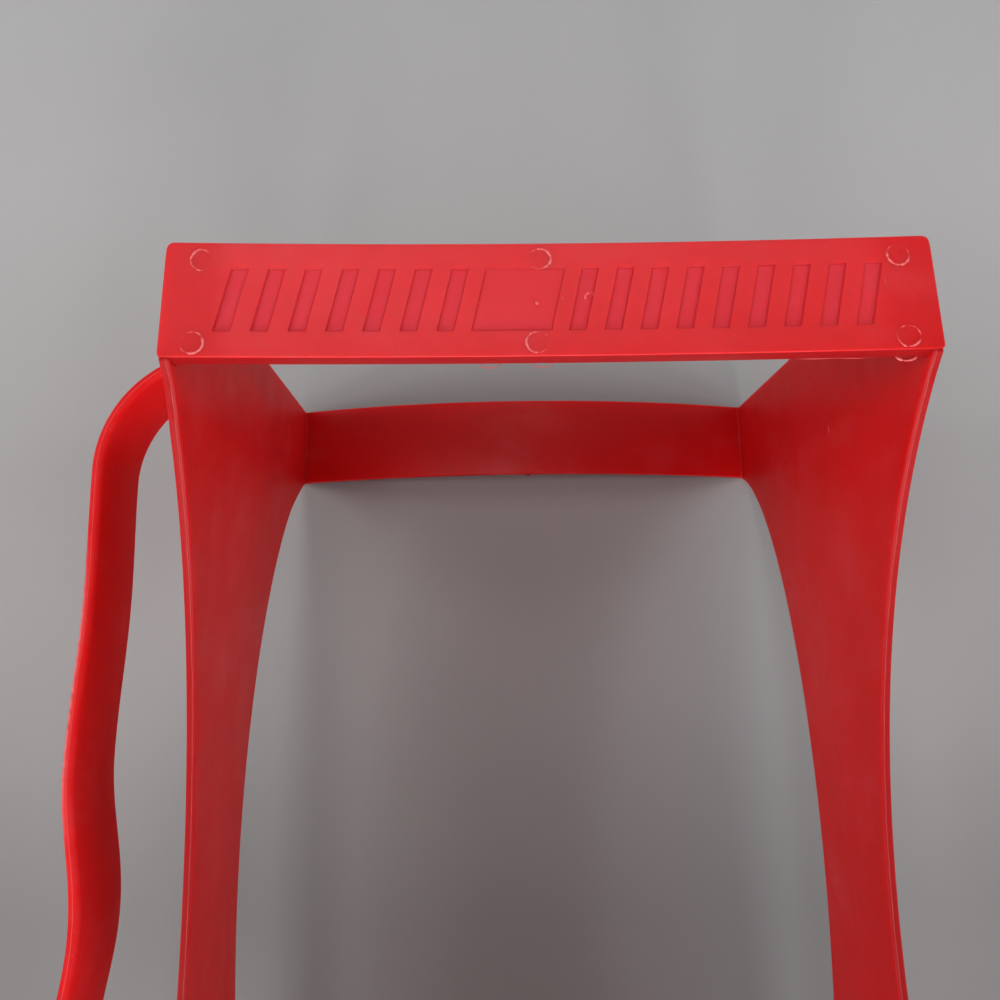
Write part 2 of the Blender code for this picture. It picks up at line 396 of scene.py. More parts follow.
def moulded_red():
    """Semi-gloss red polyethylene. Light scatters inside it, except in its thin lips and lines."""
    nodes = Nodes(bpy.data.materials.new("moulded_red"))
    place = nodes.add("ShaderNodeTexCoord").outputs["Object"]
    through = nodes.math("SUBTRACT", 1.0, nodes.mark("thin", 1.0))
    depth = nodes.between(nodes.mark("matt", 1.0), 0.0, 1.0, 0.0035, 0.0046)
    nodes.put(nodes.shader.inputs["Base Color"], red_colour(nodes, place))
    nodes.put(nodes.shader.inputs["Roughness"], red_roughness(nodes, place))
    nodes.put(nodes.shader.inputs["Normal"], red_skin(nodes, place))
    nodes.put(nodes.shader.inputs["Subsurface Weight"], through)
    nodes.put(nodes.shader.inputs["Subsurface Scale"], depth)
    nodes.shader.inputs["Subsurface Radius"].default_value = (1.0, 0.06, 0.06)
    nodes.shader.inputs["IOR"].default_value = 1.5
    nodes.shader.inputs["Specular IOR Level"].default_value = 0.15
    return nodes.owner


MOULDED_RED = moulded_red()


# Sections and small marks. A surface is a function of (across, up, out) that gives a place on it.


def rounded_section(u_low, u_high, v_low, v_high, radius, count=4, ridge=None):
    """Points (u, v, wear and painted highlight, pale colour and painted highlight) round a
    rectangle with rounded corners, as many each time.

    A ridge is a fine parting line along the middle of the v_low side, painted pale along its crest
    as a highlight line.
    """
    points = []
    corners = (
        (u_low, v_low, 1, 1),
        (u_high, v_low, -1, 1),
        (u_high, v_high, -1, -1),
        (u_low, v_high, 1, -1),
    )
    for number, (u, v, in_u, in_v) in enumerate(corners):
        turns = round_corner(radius, count)
        if number % 2:
            turns.reverse()
        for across, along, wear_and_highlight in turns:
            points.append((u + in_u * across, v + in_v * along, wear_and_highlight, 0.0))
        if number == 0 and ridge is not None:
            middle = (u_low + u_high) / 2
            points.append((middle - RIDGE_HALF, v_low, 0.3, 0.1))
            points.append((middle, v_low - ridge, 0.6, 0.4))
            points.append((middle + RIDGE_HALF, v_low, 0.3, 0.1))
    return points


def side_way(path, i, looped=False):
    """The unit step to the left of a path's course at its point i."""
    before = path[i - 1] if looped or i else path[0]
    after = path[(i + 1) % len(path)] if looped or i + 1 < len(path) else path[-1]
    run = math.hypot(after[0] - before[0], after[1] - before[1])
    return -(after[1] - before[1]) / run, (after[0] - before[0]) / run


def ridge_line(shape, surface, path, halves, looped=False):
    """A fine raised line along a path of (u, v) on a surface, with its half width at each point."""
    rings = []
    for i, ((u, v), half) in enumerate(zip(path, halves)):
        side_u, side_v = side_way(path, i, looped)
        marks = {"wear_and_highlight": 0.5, "pale_and_highlight": min(1.0, half / THICK_FLASH), "thin": 1.0}
        ring = []
        for angle in steps(0.0, FULL_TURN, 8)[:-1]:
            off = 1.3 * half * math.cos(angle)
            place = surface(u + side_u * off, v + side_v * off, half * math.sin(angle))
            ring.append((place, marks))
        rings.append(ring)
    shape.add_rings(rings, looped)


def flash_arc(shape, surface, radius, thickness, seed, strongest, span=None, squash=1.0):
    """The ragged rim of flash round a mould pin: thick near one angle, thin or broken elsewhere.

    A rim with a span, from one angle to another, is a crescent instead of a ring.
    """
    turns = steps(*span, 26) if span else steps(0.0, FULL_TURN, 72)[:-1]
    path = []
    halves = []
    for turn in turns:
        east, north = math.cos(turn), math.sin(turn)
        ragged = rough(east * 2.4, north * 2.4, seed)
        ragged += 0.8 * rough(east * 9.0, north * 9.0, seed)
        strength = 0.50 + 0.42 * math.cos(turn - strongest) + 0.75 * ragged
        halves.append(thickness * min(1.3, max(0.10, strength)))
        out = radius + 0.12 * rough(east, north, seed + 9.0)
        out += 0.05 * rough(east * 7.0, north * 7.0, seed + 4.0)
        path.append((out * east, out * north * squash))
    ridge_line(shape, surface, path, halves, looped=not span)


def blob(shape, surface, radius, height, groove_shade_and_dark_spot=0.0, pale_and_highlight=0.3):
    """A small rounded bump, with its foot a little inside the surface."""
    marks = {"wear_and_highlight": 0.4, "groove_shade_and_dark_spot": groove_shade_and_dark_spot, "pale_and_highlight": pale_and_highlight, "thin": 1.0}
    rings = []
    for turn in steps(0.0, 0.92 * QUARTER, 4):
        reach = radius * math.cos(turn)
        out = height * math.sin(turn) - BUMP_FOOT
        ring = []
        for angle in steps(0.0, FULL_TURN, 12)[:-1]:
            ring.append((surface(reach * math.cos(angle), reach * math.sin(angle), out), marks))
        rings.append(ring)
    shape.add_rings(rings)


# The front bands. Both are worked out at the collar's height, and the base's is turned over.


def front_bow(x):
    """How far the front band bows in at x."""
    radius = (HALF_INNER**2 + FRONT_BOW**2) / (2 * FRONT_BOW)
    reach = min(abs(x), HALF_INNER)
    return math.sqrt(radius**2 - reach**2) - (radius - FRONT_BOW)


def front_draft(height):
    """How far the front face stands further out at a height than at the band's top."""
    return BAND_DRAFT * (HEIGHT - height) / BAND_HEIGHT


def front_y(x, height, bow=1.0):
    """The front face's y in the collar, at a height above the floor's underside."""
    return -HALF_OUTER + bow * front_bow(x) - front_draft(height)


def sunk_share(inside):
    """How far down a recess's wall a point is, from 0 to 1, this far inside the recess's edge."""
    return smooth(inside / RECESS_WALL)


def groove_shade_share(inside):
    """How much of the painted shade line along a recess's edge shows there."""
    if inside < RECESS_WALL / 2:
        return smooth(1 + inside / GROOVE_REACH)
    return smooth((GROOVE_END - inside) / (GROOVE_END - RECESS_WALL))


# Where points lie across a recess's edge, and how far inside an edge the points outside count as
RECESS_OFFSETS = (-GROOVE_REACH, 0.0, 0.03, 0.06, 0.09, RECESS_WALL, GROOVE_END)
OUTSIDE = -1.0


def panel_recesses():
    """The recesses on the front face as (left, right, depth): slanted bars and a plain patch."""
    end = HALF_OUTER - PANEL_MARGIN
    patch = (PATCH_OFFSET - PATCH_WIDTH / 2, PATCH_OFFSET + PATCH_WIDTH / 2)
    recesses = [(*patch, PATCH_DEPTH)]
    for start, stop in ((-end, patch[0] - BAR_SPACE), (patch[1] + BAR_SPACE, end)):
        count = int((stop - start + BAR_SPACE) / (BAR_WIDTH + BAR_SPACE))
        for left in steps(start, stop - BAR_WIDTH, count - 1):
            recesses.append((left, left + BAR_WIDTH, BAR_DEPTH))
    return sorted(recesses)


def with_ends(columns):
    """Adds the columns of the band's ends, closer together across the corners' fillets."""
    foot = HALF_INNER - CORNER_FILLET
    reach = steps(HALF_OUTER - PANEL_MARGIN + 0.8, foot, 4)[:-1]
    reach += fillet_places(HALF_INNER) + [HALF_INNER + 0.15]
    left_end = [(-x, OUTSIDE, 0.0) for x in reach[::-1]]
    right_end = [(x, OUTSIDE, 0.0) for x in reach]
    return left_end + columns + right_end


def panel_columns():
    """Columns (x, inside, depth) for the front face: at the recesses' edges and between them."""
    columns = []
    for left, right, depth in panel_recesses():
        columns += [(left + inside, inside, depth) for inside in RECESS_OFFSETS]
        columns += [(right - inside, inside, depth) for inside in RECESS_OFFSETS]
        floor = steps(left, right, max(2, round((right - left) / FLOOR_SPACING)))[1:-1]
        columns += [(x, min(x - left, right - x), depth) for x in floor]
        columns.append((right + BAR_SPACE / 2, OUTSIDE, 0.0))
    return sorted(columns)[:-1]


def plain_columns():
    end = HALF_OUTER - PANEL_MARGIN
    return [(x, OUTSIDE, 0.0) for x in steps(-end, end, 30)]


def outside_rows(low, high, count):
    return [(z, OUTSIDE) for z in steps(low, high, count)]


def panel_rows():
    """Rows (height, inside) on the front face, at the recesses' lower and upper edges."""
    top = HEIGHT - BAR_DROP
    bottom = top - BAR_HEIGHT
    rows = [(bottom + inside, inside) for inside in RECESS_OFFSETS]
    rows += [(z, 1.0) for z in steps(bottom, top, 4)[1:-1]]
    rows += [(top - inside, inside) for inside in RECESS_OFFSETS]
    rows += outside_rows(COLLAR_UNDERSIDE + LOWER_MARGIN, bottom - PANEL_ROW_GAP, 3)
    rows += outside_rows(top + PANEL_ROW_GAP, HEIGHT - UPPER_MARGIN, 3)
    return sorted(rows)


def band_section(rows):
    """A front band's section, from its lower front edge: (side, height, inward, worn, inside)."""
    section = []
    for rise, back, wear_and_highlight in round_corner(BAND_LOWER_RADIUS, 6):
        section.append(("front", COLLAR_UNDERSIDE + UNDERSIDE_SLOPE + rise, back, wear_and_highlight, OUTSIDE))
    section += [("front", z, 0.0, 0.0, inside) for z, inside in rows]
    for drop, back, wear_and_highlight in reversed(round_corner(EDGE_RADIUS)):
        section.append(("front", HEIGHT - drop, back, wear_and_highlight, OUTSIDE))
    for drop, inward, wear_and_highlight in round_corner(EDGE_RADIUS):
        section.append(("back", HEIGHT - drop, inward, wear_and_highlight, OUTSIDE))
    for rise, inward, wear_and_highlight in reversed(round_corner(EDGE_RADIUS)):
        section.append(("back", COLLAR_UNDERSIDE + rise, inward, wear_and_highlight, OUTSIDE))
    return section


def painted_sheen_share(x, z):
    """A painted sheen on the front face, strongest at its left and top, and weakest at its ends."""
    share = 0.68 - 0.0055 * x + 0.018 * (z - HEIGHT + BAND_HEIGHT / 2)
    return share * (1 - 0.55 * smooth((abs(x) - 41.0) / 4.0))


def slant_shift(x, z):
    """How far the recesses' slant moves a point of the front face sideways."""
    reach = BAR_HEIGHT / 2 + 0.2
    above = z - (HEIGHT - BAR_DROP - BAR_HEIGHT / 2)
    fade = smooth((FLAT_HALF - abs(x)) / 3.0)
    return min(reach, max(-reach, above)) * math.tan(BAR_SLANT) * fade


def corner_shift(z, drop):
    """How the band's rounded upper corners, and half as much its lower ones, move a height."""
    z -= drop * smooth((z - HEIGHT + CORNER_REACH) / CORNER_REACH)
    return z + 0.5 * drop * smooth((COLLAR_UNDERSIDE + CORNER_REACH - z) / CORNER_REACH)


def band_ring(section, x, inside, depth, bow, inset=0.0, drop=0.0):
    """One closed ring of a front band. At the ends inset narrows it and drop rounds its corners."""
    middle_z = HEIGHT - BAND_HEIGHT / 2
    underside_top = COLLAR_UNDERSIDE + UNDERSIDE_SLOPE + BAND_LOWER_RADIUS
    drafted = smooth(abs(x) - DRAFTED_END)
    ring = []
    for side, z, inward, wear_and_highlight, row_inside in section:
        px = x + bow * slant_shift(x, z) + math.copysign(drafted * front_draft(z), x)
        front = front_y(px, z, bow)
        back = -HALF_OUTER + bow * front_bow(px) + FRONT_WALL
        if abs(px) <= HALF_INNER:
            back += fillet_rise(HALF_INNER - abs(px))
        within = min(inside, row_inside)
        sunk = sunk_share(within) if depth else 0.0
        # Painted shade along the recess's edge
        groove_shade_and_dark_spot = groove_shade_share(within) if depth else 0.0
        y = front + inward + sunk * depth if side == "front" else back - inward
        middle_y = (front + back) / 2
        y = middle_y + (y - middle_y) * (1 - 2 * inset / (back - front))
        z = middle_z + (z - middle_z) * (1 - 2 * inset / BAND_HEIGHT)
        z = corner_shift(z, drop)
        # Painted sheen: full on the front face, and a fifth of it on the back
        painted_sheen = painted_sheen_share(px, z) if side == "front" else 0.2
        # Painted shade over the face's lower edge, full on the band's underside, where the painted
        # sheen gives way to it
        below = COLLAR_UNDERSIDE + LOWER_SHADE_TOP - z
        edge_shade = LOWER_SHADE * smooth(below / LOWER_SHADE_REACH)
        if row_inside == OUTSIDE and z < underside_top:
            under = inward if side == "front" else FRONT_WALL
            edge_shade = smooth(under / (0.5 * BAND_LOWER_RADIUS) - 0.4)
            painted_sheen *= 1 - edge_shade
        marks = {"wear_and_highlight": wear_and_highlight, "sunk": sunk * depth / BAR_DEPTH, "groove_shade_and_dark_spot": groove_shade_and_dark_spot}
        marks |= {"painted_sheen": painted_sheen, "edge_shade": edge_shade, "thin": 0.5 * edge_shade}
        ring.append(((px, y, z), marks))
    return ring


def band_rings(with_panel):
    """A front band's rings from left to right. The collar's has the panel and is bowed."""
    if with_panel:
        bow, rows, columns = 1.0, panel_rows(), panel_columns()
    else:
        rows = outside_rows(COLLAR_UNDERSIDE + LOWER_MARGIN, HEIGHT - UPPER_MARGIN, 6)
        bow, columns = 0.0, plain_columns()
    section = band_section(rows)
    rings = [band_ring(section, x, inside, depth, bow) for x, inside, depth in with_ends(columns)]
    for side in (-1, 1):
        ends = []
        for short, drop, _ in reversed(round_corner(BAND_CORNER_RADIUS, 6)):
            in_end = max(0.0, BAND_END_RADIUS - short)
            inset = BAND_END_RADIUS - math.sqrt(BAND_END_RADIUS**2 - in_end**2)
            x = side * (HALF_OUTER - short)
            ends.append(band_ring(section, x, OUTSIDE, 0.0, bow, inset, drop))
        rings = ends[::-1] + rings if side < 0 else rings + ends
    return rings


def band_face(x, z, bow=1.0):
    """A front band's front face round a point, as a surface."""
    return lambda u, v, out: (x + u, front_y(x + u, z + v, bow) - out, z + v)


def band_underside(x):
    """The upright plane at the collar's lower back edge, in front of the walls, as a surface."""
    back = -HALF_OUTER + front_bow(x) + FRONT_WALL
    return lambda u, v, out: (x + u, back - 0.12 - out, COLLAR_UNDERSIDE + 0.15 + v)


# Rims of flash on the front face: (x, height, thickness, angle at which it is thickest)
PIN_RIMS = (
    (-45.7, 183.5, 0.105, 2.9),
    (-1.4, 183.7, 0.13, 0.0),
    (46.0, 183.3, 0.105, 4.4),
    (-46.4, 172.1, 0.105, 5.9),
    (-1.95, 172.1, 0.105, 3.6),
    (46.2, 172.0, 0.105, 4.9),
)

# Crescents of flash that hang under the front band: (x, thickness, seed), and their angles
CRESCENTS = ((-8.2, 0.05, 3.0), (-1.3, 0.04, 8.0), (46.4, 0.10, 5.0))
CRESCENT_SPAN = (math.pi * 1.06, math.pi * 1.94)

# The long line of flash under the front band's right half: its middle and half its length
SEAM_PLACE = 35.8
SEAM_HALF = 5.8


def make_front_band():
    shape = Shape()
    shape.add_rings(band_rings(True))
    for number, (x, z, thickness, strongest) in enumerate(PIN_RIMS):
        flash_arc(shape, band_face(x, z), PIN_RADIUS, thickness, 3.7 * number, strongest)
    flash_arc(shape, band_face(5.1, 178.2), 0.62, 0.095, 31.0, 2.4)
    blob(shape, band_face(-1.9, 177.5), 0.26, 0.06, pale_and_highlight=0.6)
    blob(shape, band_face(1.5, 178.2), 0.22, 0.09)
    scratch = [(-0.2, 1.0), (-0.05, 0.2), (0.15, -1.0)]
    ridge_line(shape, band_face(44.0, 179.5), scratch, [0.01, 0.04, 0.01])
    for x, thickness, seed in CRESCENTS:
        flash_arc(shape, band_underside(x), 1.4, thickness, seed, 4.7, CRESCENT_SPAN, squash=0.5)
    seam = [(u, -0.1 + 0.05 * math.sin(u)) for u in steps(-SEAM_HALF, SEAM_HALF, 24)]
    halves = [0.05 * smooth((SEAM_HALF - abs(u)) / 2.0) + 0.01 for u, _ in seam]
    ridge_line(shape, band_underside(SEAM_PLACE), seam, halves)
    shape.make("front_band_moulding", "front_band")


def make_base_front_band():
    shape = Shape()
    shape.add_rings(band_rings(False))
    for number, x in enumerate((-45.7, 0.0, 45.7)):
        for z in (183.5, 172.1):
            seed = 50.0 + z + number
            flash_arc(shape, band_face(x, z, bow=0.0), PIN_RADIUS, 0.07, seed, 2.0 + number)
    shape.places = [(x, y, HEIGHT - z) for x, y, z in shape.places]
    shape.make("base_front_band_moulding", "base_front_band")


# The rear bands


def off_flush(x):
    """A rear band's ends stay a little off the straps' faces, inside which they end."""
    return FLUSH_GAP if abs(x) > HALF_INNER + 0.1 else 0.0


def rear_underside(x, y):
    """The collar's rear underside round a point, as a surface."""
    return lambda u, v, out: (x + u, y + v, COLLAR_UNDERSIDE - out)


def make_rear_band():
    shape = Shape()
    outer_radius = (HALF_INNER**2 + REAR_BOW**2) / (2 * REAR_BOW)
    inner_radius = outer_radius + WALL
    centre = HALF_OUTER - REAR_BOW + outer_radius
    rings = []
    for x in wall_to_wall(60, REAR_FILLET, 5):
        gap = off_flush(x)
        outer = min(centre - math.sqrt(outer_radius**2 - x**2), HALF_OUTER - gap)
        inner = centre - math.sqrt(inner_radius**2 - x**2)
        inner -= fillet_rise(HALF_INNER - abs(x), REAR_FILLET)
        low, high = COLLAR_UNDERSIDE + gap, HEIGHT - gap
        thin = smooth((abs(x) - THIN_START) / THIN_REACH)
        section = rounded_section(inner, outer, low, high, REAR_EDGE_RADIUS)
        rings.append([((x, y, z), {"wear_and_highlight": wear_and_highlight * 0.5, "thin": thin}) for y, z, wear_and_highlight, _ in section])
    shape.add_rings(rings)
    gate = centre - outer_radius - WALL / 2
    blob(shape, rear_underside(0.5, gate), 0.5, 0.35, groove_shade_and_dark_spot=0.5, pale_and_highlight=0.0)
    shape.make("rear_band_moulding", "rear_band")


def make_base_rear_band():
    shape = Shape()
    rings = []
    for x in wall_to_wall(30):
        gap = off_flush(x)
        inner = HALF_INNER - fillet_rise(HALF_INNER - abs(x))
        low, high = gap, BAND_HEIGHT - gap
        section = rounded_section(inner, HALF_OUTER - gap, low, high, REAR_EDGE_RADIUS)
        rings.append([((x, y, z), {"wear_and_highlight": wear_and_highlight * 0.5}) for y, z, wear_and_highlight, _ in section])
    shape.add_rings(rings)
    shape.make("base_rear_band_moulding", "base_rear_band")


# The side straps


def strap_edge(height, runout):
    """How far an edge lies from mid-depth, and the slope of that over the height."""
    reach = HALF_WINDOW + runout
    full_rise = 1 - math.sqrt(1 - (HALF_WINDOW / reach) ** 2)
    level = min(abs(height - MIDDLE), HALF_WINDOW) / reach
    bend = math.sqrt(1 - level**2)
    away = HALF_WAIST + (HALF_OUTER - HALF_WAIST) * (1 - bend) / full_rise
    slope = (HALF_OUTER - HALF_WAIST) / full_rise * level / bend / reach
    return away, math.copysign(slope, height - MIDDLE)


def edge_profile(lip, wander):
    """A strap's edge from its inner to its outer face, as (across, back, wear and painted
    highlight, pale flash and painted highlight).

    The lip of flash wanders along it. The first and last points support the broad faces' shading.
    """
    corner = round_corner(STRAP_EDGE_RADIUS)
    beside = STRAP_EDGE_RADIUS + SUPPORT
    profile = [(0.0, beside, 0.0, 0.0)]
    profile += [(across, back, wear_and_highlight * 0.4, 0.0) for across, back, wear_and_highlight in corner]
    for turn in steps(-1.0, 1.0, 6):
        rise = lip * (1 - turn**2)
        profile.append((LIP_PLACE + wander + LIP_HALF * turn, -rise, 0.3, 0.30 * rise / LIP))
    profile += [(WALL - across, back, wear_and_highlight * 0.4, 0.0) for across, back, wear_and_highlight in reversed(corner)]
    profile.append((WALL, beside, 0.0, 0.0))
    return profile


def strap_ring(side, height, front, rear, shift=0.0, inset=0.0):
    """A closed ring of a strap. front and rear are (distance, slope) of its two edges."""
    inner = HALF_INNER + shift
    matt = END_MATT * smooth((abs(height - MIDDLE) - MATT_START) / MATT_REACH)
    wander = 0.08 * rough(height * 0.22, side * 7.0, 0.0)
    lip = LIP * (0.75 + 0.7 * rough(height * 0.6, side * 3.0, 5.0))
    ring = []
    for (away, slope), facing in ((front, -1), (rear, 1)):
        run = math.hypot(1.0, slope)
        out_y, out_z = facing / run, -slope / run
        profile = edge_profile(lip if facing < 0 else 0.0, wander)
        if facing > 0:
            profile.reverse()
        for across, back, wear_and_highlight, pale_and_highlight in profile:
            x = side * (inner + min(max(across, inset), WALL - inset))
            y = facing * away - out_y * (back + inset)
            # Painted shade across the strap's cut front edge
            edge_shade = 0.0
            if facing < 0:
                edge_shade = min(1.0, min(across, WALL - across) / CUT_EDGE_SHADE_REACH)
            marks = {"wear_and_highlight": wear_and_highlight, "pale_and_highlight": pale_and_highlight, "edge_shade": edge_shade, "thin": 0.5 * edge_shade, "matt": matt}
            ring.append(((x, y, height - out_z * back), marks))
    return ring


def wall_face(side, y, z):
    """A strap's inner face round a point in the collar, as a surface."""
    return lambda u, v, out: (side * (HALF_INNER - out), y + u, z + v)


def add_strap(shape, side, bow):
    """A strap from bottom to top. Both its ends reach behind the bands' sloping undersides."""
    in_band = (HALF_OUTER - FRONT_WALL + 0.2, 0.0)
    at_underside = (HALF_OUTER - 0.05, 0.0)
    square = (HALF_OUTER - FLUSH_GAP, 0.0)
    end = [(FLUSH_GAP + off, in_band, inset) for off, inset, _ in round_corner(EDGE_RADIUS, 3)]
    end.append((FLUSH_GAP + EDGE_RADIUS + SUPPORT, in_band, 0.0))
    end.append((BAND_HEIGHT - STEP_HIGH, in_band, 0.0))
    end.append((BAND_HEIGHT - STEP_LOW, at_underside, 0.0))
    rings = [strap_ring(side, off, front, square, inset=inset) for off, front, inset in end]
    for turn in steps(-QUARTER, QUARTER, 96):
        height = MIDDLE + HALF_WINDOW * math.sin(turn)
        level = max(0.0, 1 - ((height - MIDDLE) / HALF_WINDOW) ** 2)
        shift = bow * level * smooth(level / 0.2)
        front, rear = strap_edge(height, FRONT_RUNOUT), strap_edge(height, REAR_RUNOUT)
        rings.append(strap_ring(side, height, front, rear, shift))
    for off, front, inset in reversed(end):
        rings.append(strap_ring(side, HEIGHT - off, front, square, inset=inset))
    shape.add_rings(rings)


def make_left_strap():
    shape = Shape()
    add_strap(shape, -1, LEFT_STRAP_BOW)
    shape.make("left_strap_moulding", "left_side_strap")


def make_right_strap():
    shape = Shape()
    add_strap(shape, 1, RIGHT_STRAP_BOW)
    scratch = [(-0.1, 0.9), (0.05, 0.3), (0.0, -0.2), (0.15, -0.9)]
    ridge_line(shape, wall_face(1, -9.0, 168.5), scratch, [0.02, 0.06, 0.06, 0.02])
    blob(shape, wall_face(1, -1.6, 179.6), 0.30, 0.03, groove_shade_and_dark_spot=1.0, pale_and_highlight=0.0)
    blob(shape, wall_face(1, -28.0, 170.1), 0.22, 0.03, groove_shade_and_dark_spot=1.0, pale_and_highlight=0.0)
    shape.make("right_strap_moulding", "right_side_strap")


# The handle


def raised_cosine(distance, half_length):
    if abs(distance) >= half_length:
        return 0.0
    return (1 + math.cos(math.pi * distance / half_length)) / 2


def handle_path():
    """The handle's outer face in side view, from inside the wall at the top to the wall below."""
    grip = -HALF_OUTER - HANDLE_REACH
    top = HEIGHT - HANDLE_DROP
    half_run = top - HANDLE_BEND - MIDDLE
    half_grip = GRIP_LENGTH / 2
    bend_x = grip + HANDLE_BEND
    bend_z = top - HANDLE_BEND
    shoulder_length = half_run - half_grip
    shoulder = half_grip + shoulder_length / 2
    path = [(x, top) for x in steps(-HALF_OUTER + EMBED, bend_x + 0.2, 12)]
    for turn in steps(0.0, QUARTER, 36):
        path.append((bend_x - HANDLE_BEND * math.sin(turn), bend_z + HANDLE_BEND * math.cos(turn)))
    for along in steps(half_run, 0.0, 90)[1:]:
        dip = GRIP_DIP * raised_cosine(along, half_grip)
        dip += SHOULDER_DIP * raised_cosine(along - shoulder, shoulder_length / 2)
        dip -= GRIP_SWELL * raised_cosine(max(0.0, along - half_grip), shoulder_length)
        path.append((grip + dip, MIDDLE + along))
    return path + [(x, HEIGHT - z) for x, z in reversed(path[:-1])]


def handle_section(flare, ridge):
    """The handle's section as (inward, y, wear and painted highlight, pale colour and painted
    highlight), wider and thicker by its root's flare.

    It has points across the inner face for the crown, and two that support the outer face.
    """
    half = HANDLE_WIDTH / 2 + flare
    inner = HANDLE_THICKNESS + flare
    flat = half - HANDLE_EDGE_RADIUS
    section = rounded_section(-flare, inner, -half, half, HANDLE_EDGE_RADIUS, 6, ridge)
    front_half = [i for i, (inward, y, _, _) in enumerate(section) if inward > 0.0 and y < 0.0]
    inner_face = front_half[-1] + 1
    crown = [(inner, y, 0.0, 0.0) for y in steps(-flat, flat, 12)[1:-1]]
    supports = [(-flare, y, 0.0, 0.0) for y in (flat - SUPPORT, SUPPORT - flat)]
    return section[:inner_face] + crown + section[inner_face:] + supports


def make_handle():
    shape = Shape()
    path = handle_path()
    rings = []
    for i, (x, z) in enumerate(path):
        in_x, in_z = side_way(path, i)
        flare = fillet_rise(-HALF_OUTER - x, ROOT_FILLET)
        flat = HANDLE_WIDTH / 2 + flare - HANDLE_EDGE_RADIUS
        ridge = HANDLE_RIDGE * (0.7 + rough(x * 0.3, 0.0, z * 0.3))
        handle_highlight = smooth(1.5 - abs(z - HIGHLIGHT_HEIGHT) / HIGHLIGHT_REACH)
        handle_highlight *= 0.8 + 0.6 * rough(z * 0.9, 4.0, 0.0)
        ring = []
        for inward, y, wear_and_highlight, pale_and_highlight in handle_section(flare, ridge):
            # Painted highlight on the handle's front edge rounding, near its outer face, round one
            # height
            edge = 0.0
            if y < SUPPORT / 2 - flat:
                edge = handle_highlight * smooth(1.9 - 2 * inward / HANDLE_EDGE_RADIUS)
            marks = {"wear_and_highlight": wear_and_highlight * 0.4, "pale_and_highlight": max(pale_and_highlight, edge), "matt": 1.0, "thin": edge}
            if inward > HANDLE_THICKNESS / 2:
                inward += HANDLE_CROWN * max(0.0, 1 - (y / (flat + HANDLE_EDGE_RADIUS / 2)) ** 2)
            ring.append(((x + in_x * inward, y, z + in_z * inward), marks))
        rings.append(ring)
    shape.add_rings(rings)
    shape.make("handle_moulding", "handle_strap")


# The floor


def floor_rise(x, y):
    """The floor's top meets the walls and the base bands in hollow fillets."""
    front = y + HALF_OUTER - FRONT_WALL
    return max(fillet_rise(HALF_INNER - abs(x)), fillet_rise(HALF_INNER - y), fillet_rise(front))


def floor_top(x, y):
    """The floor's upper face round a point, as a surface."""
    return lambda u, v, out: (x + u, y + v, FLOOR_THICKNESS + out)


def make_floor():
    shape = Shape()
    front = HALF_OUTER - FRONT_WALL
    near_front = [-front - EMBED] + [-y for y in fillet_places(front)[::-1]]
    near_rear = fillet_places(HALF_INNER) + [HALF_INNER + EMBED]
    along = near_front + steps(1.0 - FLAT_HALF, FLAT_HALF, 24) + near_rear
    first, last = along[0], along[-1]
    rings = []
    for x in wall_to_wall(24):
        low = FLUSH_GAP if abs(x) > HALF_INNER else 0.0
        ring = [((x, y, FLOOR_THICKNESS + floor_rise(x, y)),) for y in along]
        ring.append(((x, last, low + EDGE_RADIUS),))
        ring.append(((x, last - EDGE_RADIUS, low),))
        ring.append(((x, first + EDGE_RADIUS, low),))
        ring.append(((x, first, low + EDGE_RADIUS),))
        rings.append(ring)
    shape.add_rings(rings)
    for number, (x, y) in enumerate(((-32.0, -32.0), (32.0, -32.0), (32.0, 32.0), (-32.0, 32.0))):
        flash_arc(shape, floor_top(x, y), 3.0, 0.08, 70.0 + number, 1.5 * number)
    blob(shape, floor_top(0.0, 0.0), 1.1, 0.35)
    shape.make("floor_moulding", "base_floor")


make_front_band()
make_rear_band()
make_left_strap()
make_right_strap()
make_handle()
make_base_front_band()
make_base_rear_band()
make_floor()


# The stage: a bench behind the carrier and a floor under it, in metres

BENCH_Y = 0.0507
FLOOR_Z = -0.0002
BENCH_COLOUR = (0.412, 0.409, 0.413)
FLOOR_COLOUR = (0.62, 0.615, 0.61)
MOTTLE = 0.015

# The bench's painted shade, darker towards its bottom: pairs of a height and how bright it is
# painted there
BENCH_SHADES = (
    (0.080, 0.515),
    (0.105, 0.66),
    (0.125, 0.79),
    (0.145, 0.86),
    (0.185, 0.89),
    (0.250, 1.0),
)

# The stage fades into the plain background between these distances from the object
FADE = (0.35, 0.80)


def shade_ramp(nodes, place, shades):
    """How bright a plane is painted at its height, from its painted shade."""
    low, high = shades[0][0], shades[-1][0]
    height = nodes.add("ShaderNodeSeparateXYZ", {"Vector": place}).outputs["Z"]
    ramp = nodes.add("ShaderNodeValToRGB", {"Fac": nodes.between(height, low, high)})
    ramp.color_ramp.interpolation = "B_SPLINE"
    stops = ramp.color_ramp.elements
    for number, (level, bright) in enumerate(shades):
        stop = stops[number] if number < 2 else stops.new(1.0)
        stop.position = (level - low) / (high - low)
        stop.color = (bright, bright, bright, 1)
    return ramp.outputs["Color"]


